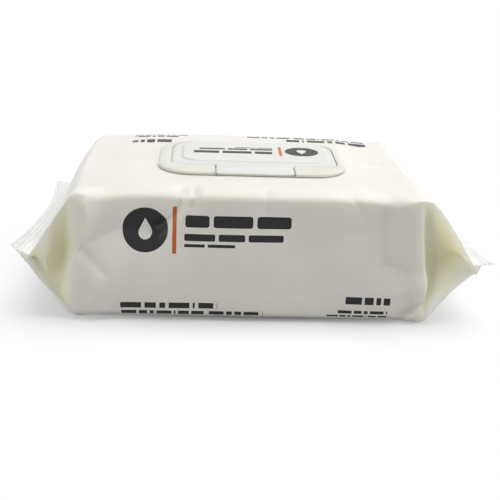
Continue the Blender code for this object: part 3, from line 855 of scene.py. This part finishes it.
def plan_outline(centre, half_size, radii, near_marks, near_shape=None):
    """A rounded rectangle whose points match those of every other outline made here.

    Its near side is divided at near_marks, four distances from the middle line to each side: the
    end and the root of the tongue, and the start and the end of the straight beyond. near_shape
    replaces the near side where there is a tongue.
    """
    counts = STRETCHES
    left, right = centre[0] - half_size[0], centre[0] + half_size[0]
    near_y, far_y = centre[1] - half_size[1], centre[1] + half_size[1]
    near_r, far_r = radii
    notch_left, notch_right = LID_CENTRE[0] - NOTCH_HALF_WIDTH, LID_CENTRE[0] + NOTCH_HALF_WIDTH
    if near_shape is None:
        marks = [TONGUE_CENTRE_X + mark for mark in near_marks]
        mirrored = [TONGUE_CENTRE_X - mark for mark in near_marks]
        near = [straight((mirrored[0], near_y), (marks[0], near_y), counts["end"])]
        near.append(straight((marks[0], near_y), (marks[1], near_y), counts["side"]))
        near.append(straight((marks[1], near_y), (marks[2], near_y), counts["root"]))
        closing = [straight((mirrored[2], near_y), (mirrored[1], near_y), counts["root"])]
        closing.append(straight((mirrored[1], near_y), (mirrored[0], near_y), counts["side"]))
        start_x, end_x = marks[2], mirrored[2]
    else:
        near, closing, start_x, end_x = near_shape
    around = [
        straight((start_x, near_y), (right - near_r, near_y), counts["near"]),
        arc((right - near_r, near_y + near_r), near_r, -90.0, 0.0, counts["corner"]),
        straight((right, near_y + near_r), (right, far_y - far_r), counts["flank"]),
        arc((right - far_r, far_y - far_r), far_r, 0.0, 90.0, counts["corner"]),
        straight((right - far_r, far_y), (notch_right, far_y), counts["far"]),
        straight((notch_right, far_y), (notch_left, far_y), counts["notch"]),
        straight((notch_left, far_y), (left + far_r, far_y), counts["far"]),
        arc((left + far_r, far_y - far_r), far_r, 90.0, 180.0, counts["corner"]),
        straight((left, far_y - far_r), (left, near_y + near_r), counts["flank"]),
        arc((left + near_r, near_y + near_r), near_r, 180.0, 270.0, counts["corner"]),
        straight((left + near_r, near_y), (end_x, near_y), counts["near"]),
    ]
    return np.concatenate(near + around + closing)


def lid_plan(grow, end_y):
    """Plan of the lid grown by grow: a rounded rectangle with a filleted tongue that ends at end_y."""
    counts = STRETCHES
    half_size = (LID_HALF_SIZE[0] + grow, LID_HALF_SIZE[1] + grow)
    root_y = LID_CENTRE[1] - half_size[1]
    half = TONGUE_HALF_WIDTH + grow
    fillet = TONGUE_FILLET - grow
    x = TONGUE_CENTRE_X
    near = [
        straight((x - half, end_y), (x + half, end_y), counts["end"]),
        straight((x + half, end_y), (x + half, root_y - fillet), counts["side"]),
        arc((x + half + fillet, root_y - fillet), fillet, 180.0, 90.0, counts["root"]),
    ]
    closing = [
        arc((x - half - fillet, root_y - fillet), fillet, 90.0, 0.0, counts["root"]),
        straight((x - half, root_y - fillet), (x - half, end_y), counts["side"]),
    ]
    radii = (LID_RADII[0] + grow, LID_RADII[1] + grow)
    shape = (near, closing, x + half + fillet, x - half - fillet)
    return plan_outline(LID_CENTRE, half_size, radii, None, shape)


def rectangle_plan(centre, half_size, radius, grow):
    """A plain rounded rectangle, grown by grow, with its points spread along its near side."""
    straight_half = half_size[0] - radius
    marks = [straight_half * share for share in (0.5, 0.7, 0.85)]
    half = (half_size[0] + grow, half_size[1] + grow)
    return plan_outline(centre, half, (radius + grow, radius + grow), marks)


def frame_plan(grow):
    """The frame's outer outline, with the tongue's width marked on its near side."""
    half = (FRAME_HALF_SIZE[0] + grow, FRAME_HALF_SIZE[1] + grow)
    tongue = TONGUE_HALF_WIDTH + LID_CLEARANCE
    marks = [tongue, tongue + 2.0 * MM, tongue + 5.5 * MM]
    return plan_outline(FRAME_CENTRE, half, (FRAME_RADIUS + grow, FRAME_RADIUS + grow), marks)


def stretch_mask(*names):
    """1 on the named stretches of an outline and 0 on the others."""
    order = ["end", "side", "root", "near", "corner", "flank", "corner", "far", "notch", "far"]
    order += ["corner", "flank", "corner", "near", "root", "side"]
    return np.concatenate([np.full(STRETCHES[name], float(name in names)) for name in order])


def at_height(plan, z):
    """Adds one height, or one for each point, to an outline."""
    return np.column_stack([plan, np.broadcast_to(z, len(plan))])


def skin_rings(name, rings, ring_closed, centre_points=()):
    """A mesh through rings that have the same number of points.

    The last ring joins the first if ring_closed. Otherwise each end of the stack is closed by a
    fan of triangles to its centre point.
    """
    rings = np.array(rings)
    rows, count = rings.shape[:2]
    index = np.arange(rows * count).reshape(rows, count)
    lower = index if ring_closed else index[:-1]
    upper = np.roll(index, -1, axis=0) if ring_closed else index[1:]
    quads = np.stack(
        [lower, np.roll(lower, -1, axis=1), np.roll(upper, -1, axis=1), upper], axis=2
    ).reshape(-1, 4)
    points = rings.reshape(-1, 3)
    faces = quads.tolist()
    if not ring_closed:
        first, last = rows * count, rows * count + 1
        points = np.concatenate([points, np.array(centre_points)])
        turned = np.roll(index[0], -1)
        faces += [[first, b, a] for a, b in zip(index[0].tolist(), turned.tolist())]
        turned = np.roll(index[-1], -1)
        faces += [[last, a, b] for a, b in zip(index[-1].tolist(), turned.tolist())]
    mesh = bpy.data.meshes.new(name)
    mesh.from_pydata(points, [], faces)
    shape = bmesh.new()
    shape.from_mesh(mesh)
    bmesh.ops.remove_doubles(shape, verts=shape.verts, dist=0.002 * MM)
    bmesh.ops.recalc_face_normals(shape, faces=shape.faces)
    shape.to_mesh(mesh)
    shape.free()
    mesh.shade_smooth()
    mesh.set_sharp_from_angle(angle=np.radians(40.0))
    piece = bpy.data.objects.new(name, mesh)
    bpy.context.scene.collection.objects.link(piece)
    return piece


def make_frame():
    """Rings from the window's lower edge over the collar, the pocket and the rim, and back below."""
    def window(grow):
        return rectangle_plan(WINDOW_CENTRE, WINDOW_HALF_SIZE, WINDOW_RADIUS, grow)

    def pocket(grow):
        return lid_plan(LID_CLEARANCE + grow, HINGE_Y)

    open_part = stretch_mask("end", "notch")
    rim_z = FLANGE_TOP + (RIM_TOP - FLANGE_TOP) * (1.0 - open_part)
    collar_top = RIM_TOP - 0.2 * MM
    rings = [at_height(window(0.0), FRAME_BOTTOM), at_height(window(0.0), collar_top - 0.3 * MM)]
    rings.append(at_height(window(0.15 * MM), collar_top - 0.05 * MM))
    rings.append(at_height(window(0.4 * MM), collar_top))
    rings.append(at_height(window(COLLAR_WALL - 0.4 * MM), collar_top))
    rings.append(at_height(window(COLLAR_WALL - 0.1 * MM), collar_top - 0.1 * MM))
    rings.append(at_height(window(COLLAR_WALL), collar_top - 0.4 * MM))
    rings.append(at_height(window(COLLAR_WALL), FLANGE_TOP + 0.3 * MM))
    rings.append(at_height(window(COLLAR_WALL + 0.3 * MM), FLANGE_TOP))
    rings.append(at_height(pocket(-0.2 * MM), FLANGE_TOP))
    rings.append(at_height(pocket(0.0), FLANGE_TOP + 0.2 * MM * (1.0 - open_part)))
    wall_top = rim_z - 0.3 * MM * (1.0 - open_part)
    rings.append(at_height(pocket(0.0), wall_top))
    rings.append(at_height(pocket(0.1 * MM), wall_top + (rim_z - wall_top) * 0.75))
    rings.append(at_height(pocket(0.3 * MM), rim_z))
    for inset, drop in zip(BEVEL_INSETS, BEVEL_DROPS):
        rings.append(at_height(frame_plan(-inset), rim_z - drop * (1.0 - open_part * 0.7)))
    rings.append(at_height(frame_plan(0.0), FRAME_BOTTOM + 0.15 * MM))
    rings.append(at_height(frame_plan(-0.15 * MM), FRAME_BOTTOM))
    piece = skin_rings("frame_moulding", rings, True)
    return piece


def plastic_material(name, colour, paler, roughness):
    """Moulded polypropylene: satin, with a fine even grain and a faint glow below the surface."""
    material, nodes, shader, place = new_material(name, roughness, 0.3)
    shader.inputs["Subsurface Weight"].default_value = 0.12
    shader.inputs["Subsurface Radius"].default_value = (0.004, 0.004, 0.003)
    shader.inputs["Subsurface Scale"].default_value = 0.5
    grain = nodes.noise(place, 2.6, 3.0)
    flow = nodes.noise(place, 0.05, 1.0)
    nodes.put(shader.inputs["Base Color"], nodes.mix(nodes.ramp(flow, 0.3, 0.7, 0.0, 1.0), colour, paler))
    nodes.put(shader.inputs["Normal"], nodes.bump(grain, 0.15, 0.05 * MM))
    nodes.put(shader.inputs["Roughness"], nodes.ramp(grain, 0.3, 0.7, roughness - 0.05, roughness + 0.05))
    return material


frame_piece = make_frame()
frame_piece.data.materials.append(
    plastic_material("frame_plastic", (0.70, 0.695, 0.625, 1.0), (0.72, 0.715, 0.655, 1.0), 0.45)
)
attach(frame_piece, "pack")
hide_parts("lid_frame")

# Lid
# Injection-moulded polypropylene, one piece: a plate with a raised panel, a tongue that runs to
# the hinge, a lip for the thumb, and below the panel a rim that seals round the frame's collar.
LID_BOTTOM = lid_low.z
PANEL_TOP = lid_high.z
LID_TOP = RIM_TOP
PANEL_CENTRE = (1.3 * MM, 6.6 * MM)
PANEL_HALF_SIZE = (37.7 * MM, 19.9 * MM)
PANEL_RADIUS = 10.0 * MM
PANEL_SLOPE = 1.2 * MM
LID_WALL = 0.8 * MM
GROOVE_DEPTH = 0.12 * MM
# How far the lid's edge is drawn in at the heights of the bevel, from its top down.
EDGE_INSETS = np.array([0.45, 0.2, 0.06, 0.0, 0.0]) * MM
SEAL_RIM_INNER = COLLAR_WALL + 0.4 * MM
SEAL_RIM_OUTER = SEAL_RIM_INNER + 1.0 * MM
LID_PRINT_SCALE = 0.82
LID_BADGE = (25.4, 7.9)


def with_lip(plan):
    """Moves the thumb lip's stretch of the far side outwards by a bump with soft shoulders."""
    off = np.abs(plan[:, 0] - LID_CENTRE[0])
    bump = 1.0 - ease(off, LIP_HALF_WIDTH - 2.5 * MM, LIP_HALF_WIDTH)
    far_side = plan[:, 1] > LID_CENTRE[1]
    moved = plan.copy()
    moved[:, 1] += LIP_REACH * bump * far_side
    return moved


def make_lid():
    """Rings from the middle of the underside out to the edge, and over the top to the panel."""
    def plan(grow, end_inset=0.0):
        return with_lip(lid_plan(grow, HINGE_Y + end_inset))

    def panel(grow):
        return rectangle_plan(PANEL_CENTRE, PANEL_HALF_SIZE, PANEL_RADIUS, grow)

    def window(grow):
        return rectangle_plan(WINDOW_CENTRE, WINDOW_HALF_SIZE, WINDOW_RADIUS, grow)

    def shrunk(outline, share):
        middle = np.array([PANEL_CENTRE[0], PANEL_CENTRE[1]])
        return middle + (outline - middle) * share

    ceiling = PANEL_TOP - LID_WALL
    hollow = -(PANEL_SLOPE + LID_WALL)
    rings = [at_height(shrunk(window(SEAL_RIM_INNER), share), ceiling) for share in (0.04, 0.5, 0.96)]
    rings.append(at_height(window(SEAL_RIM_INNER), ceiling - 0.2 * MM))
    rings.append(at_height(window(SEAL_RIM_INNER), LID_BOTTOM + 0.3 * MM))
    rings.append(at_height(window(SEAL_RIM_INNER + 0.25 * MM), LID_BOTTOM))
    rings.append(at_height(window(SEAL_RIM_OUTER - 0.25 * MM), LID_BOTTOM))
    rings.append(at_height(window(SEAL_RIM_OUTER), LID_BOTTOM + 0.3 * MM))
    rings.append(at_height(window(SEAL_RIM_OUTER), ceiling - 0.2 * MM))
    rings.append(at_height(window(SEAL_RIM_OUTER + 0.2 * MM), ceiling))
    rings.append(at_height(panel(hollow - 0.2 * MM), ceiling))
    rings.append(at_height(panel(hollow), ceiling - 0.2 * MM))
    rings.append(at_height(panel(hollow), LID_BOTTOM + 0.15 * MM))
    rings.append(at_height(panel(hollow + 0.15 * MM), LID_BOTTOM))
    rings.append(at_height(plan(-0.1 * MM, 0.1 * MM), LID_BOTTOM))
    rings.append(at_height(plan(0.0), LID_BOTTOM + 0.1 * MM))
    bevel = zip(EDGE_INSETS[::-1], BEVEL_INSETS[::-1], BEVEL_DROPS[::-1])
    for edge_inset, end_inset, drop in bevel:
        height = max(LID_TOP - drop, LID_BOTTOM + 0.2 * MM)
        rings.append(at_height(plan(-edge_inset, end_inset), height))
    rings.append(at_height(panel(0.95 * MM), LID_TOP))
    rings.append(at_height(panel(0.75 * MM), LID_TOP - GROOVE_DEPTH * 0.7))
    rings.append(at_height(panel(0.45 * MM), LID_TOP - GROOVE_DEPTH))
    rings.append(at_height(panel(0.1 * MM), LID_TOP - GROOVE_DEPTH * 0.6))
    for share in np.linspace(0.0, 1.0, 9):
        height = LID_TOP + (PANEL_TOP - LID_TOP) * ease(share, 0.0, 1.0)
        rings.append(at_height(panel(-PANEL_SLOPE * share), height))
    flat = panel(-PANEL_SLOPE - 0.3 * MM)
    for share in (1.0, 0.75, 0.5, 0.25, 0.04):
        rings.append(at_height(shrunk(flat, share), PANEL_TOP))
    centres = [(*PANEL_CENTRE, ceiling), (*PANEL_CENTRE, PANEL_TOP)]
    return skin_rings("lid_moulding", rings, False, centres)


def lid_material():
    """The lid's plastic with the main print on its panel, read from the thumb's side."""
    material = plastic_material("lid_plastic", (0.70, 0.715, 0.675, 1.0), (0.73, 0.745, 0.71, 1.0), 0.45)
    nodes = Nodes(material.node_tree)
    shader = material.node_tree.nodes["Principled BSDF"]
    place = next(node for node in material.node_tree.nodes if node.type == "VECT_MATH").outputs[0]
    split = nodes.add("ShaderNodeSeparateXYZ")
    nodes.put(split.inputs[0], place)
    x, y, z = split.outputs
    u = nodes.math("DIVIDE", nodes.math("SUBTRACT", LID_BADGE[0], x), LID_PRINT_SCALE)
    v = nodes.math("DIVIDE", nodes.math("SUBTRACT", LID_BADGE[1], y), LID_PRINT_SCALE)
    on_panel = nodes.math("GREATER_THAN", z, (PANEL_TOP - 0.2 * MM) / MM)
    black, orange = main_print(nodes, u, v)
    plain = shader.inputs["Base Color"].links[0].from_socket
    colour = nodes.mix(nodes.math("MULTIPLY", black, on_panel), plain, INK_BLACK)
    colour = nodes.mix(nodes.math("MULTIPLY", orange, on_panel), colour, INK_ORANGE)
    nodes.put(shader.inputs["Base Color"], colour)
    return material


lid_piece = make_lid()
lid_piece.data.materials.append(lid_material())
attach(lid_piece, "lid")
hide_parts("lid")

# Living hinge
# A web of the same plastic, moulded with the frame and the tongue along their near edge, so thin
# that it bends.
HINGE_WEB_THICKNESS = 0.22 * MM
HINGE_WEB_OVERLAP = 0.2 * MM
HINGE_WEB_END = 0.6 * MM


def make_hinge():
    """A thin strip with a flattened oval section that is carried along the tongue's near edge."""
    low, high = FLANGE_TOP - HINGE_WEB_OVERLAP, LID_BOTTOM + HINGE_WEB_OVERLAP
    turn = np.linspace(0.0, 2.0 * np.pi, 41)[:-1]
    half_height = (high - low) / 2
    section_z = (low + high) / 2 + half_height * np.sign(np.sin(turn)) * np.abs(np.sin(turn)) ** 0.6
    depth = np.sign(np.cos(turn)) * np.abs(np.cos(turn)) ** 0.5
    section_y = HINGE_Y - 0.02 * MM + HINGE_WEB_THICKNESS / 2 * depth
    half = TONGUE_HALF_WIDTH - HINGE_WEB_END
    stations = TONGUE_CENTRE_X + np.linspace(-half, half, 60)
    rings = [np.column_stack([np.full(len(turn), x), section_y, section_z]) for x in stations]
    middle_z = (low + high) / 2
    centres = [(stations[0], HINGE_Y, middle_z), (stations[-1], HINGE_Y, middle_z)]
    return skin_rings("living_hinge", rings, False, centres)


hinge = make_hinge()
hinge.data.materials.append(
    plastic_material("hinge_plastic", (0.69, 0.69, 0.62, 1.0), (0.71, 0.71, 0.65, 1.0), 0.45)
)
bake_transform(hinge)

# Seal label
# A glossy peel-off label on the film inside the window. It covers the cut that the wipes are
# drawn through, and one end is left unglued as a tab to pull.
label_low, label_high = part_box("seal_label")
LABEL_CENTRE = ((label_low.x + label_high.x) / 2, (label_low.y + label_high.y) / 2)
LABEL_HALF_SIZE = ((label_high.x - label_low.x) / 2, (label_high.y - label_low.y) / 2)
LABEL_RADIUS = 9.0 * MM
TAB_LIFT = 0.9 * MM
TAB_START = 15.0 * MM


def make_label():
    """Rings over a thin sheet, whose right end curls up as the square of the way past the glue."""
    def plan(grow):
        return rectangle_plan(LABEL_CENTRE, LABEL_HALF_SIZE, LABEL_RADIUS, grow)

    def ring(outline, z):
        past = np.clip((outline[:, 0] - LABEL_CENTRE[0] - TAB_START) / (LABEL_HALF_SIZE[0] - TAB_START), 0.0, 1.0)
        return at_height(outline, z + TAB_LIFT * past**2)

    middle = np.array(LABEL_CENTRE)
    shares = (0.04, 0.3, 0.6, 0.85)
    below = [ring(middle + (plan(-0.1 * MM) - middle) * share, label_low.z) for share in shares]
    above = [ring(middle + (plan(-0.1 * MM) - middle) * share, label_high.z) for share in shares[::-1]]
    edge = [ring(plan(-0.1 * MM), label_low.z), ring(plan(0.0), label_low.z + 0.1 * MM)]
    edge += [ring(plan(0.0), label_high.z - 0.1 * MM), ring(plan(-0.1 * MM), label_high.z)]
    centres = [(*LABEL_CENTRE, label_low.z), (*LABEL_CENTRE, label_high.z)]
    return skin_rings("peel_label", below + edge + above, False, centres)


def label_material():
    """Clear-coated label in pale blue with a plain darker border line."""
    material, nodes, shader, place = new_material("label_film", 0.25, 0.5)
    split = nodes.add("ShaderNodeSeparateXYZ")
    nodes.put(split.inputs[0], place)
    x, y, z = split.outputs
    centre = [value / MM for value in LABEL_CENTRE]
    half = [value / MM for value in LABEL_HALF_SIZE]
    outer = bar_mask(nodes, x, y, *centre, half[0] - 1.2, half[1] - 1.2)
    inner = bar_mask(nodes, x, y, *centre, half[0] - 1.9, half[1] - 1.9)
    border = nodes.math("SUBTRACT", outer, inner)
    cloud = nodes.noise(place, 0.1, 2.0)
    plain = nodes.mix(cloud, (0.70, 0.78, 0.84, 1.0), (0.76, 0.82, 0.87, 1.0))
    nodes.put(shader.inputs["Base Color"], nodes.mix(border, plain, (0.25, 0.42, 0.58, 1.0)))
    nodes.put(shader.inputs["Normal"], nodes.bump(nodes.noise(place, 0.4, 2.0), 0.15, 0.1 * MM))
    return material


label = make_label()
label.data.materials.append(label_material())
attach(label, "pack")
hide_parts("seal_label")
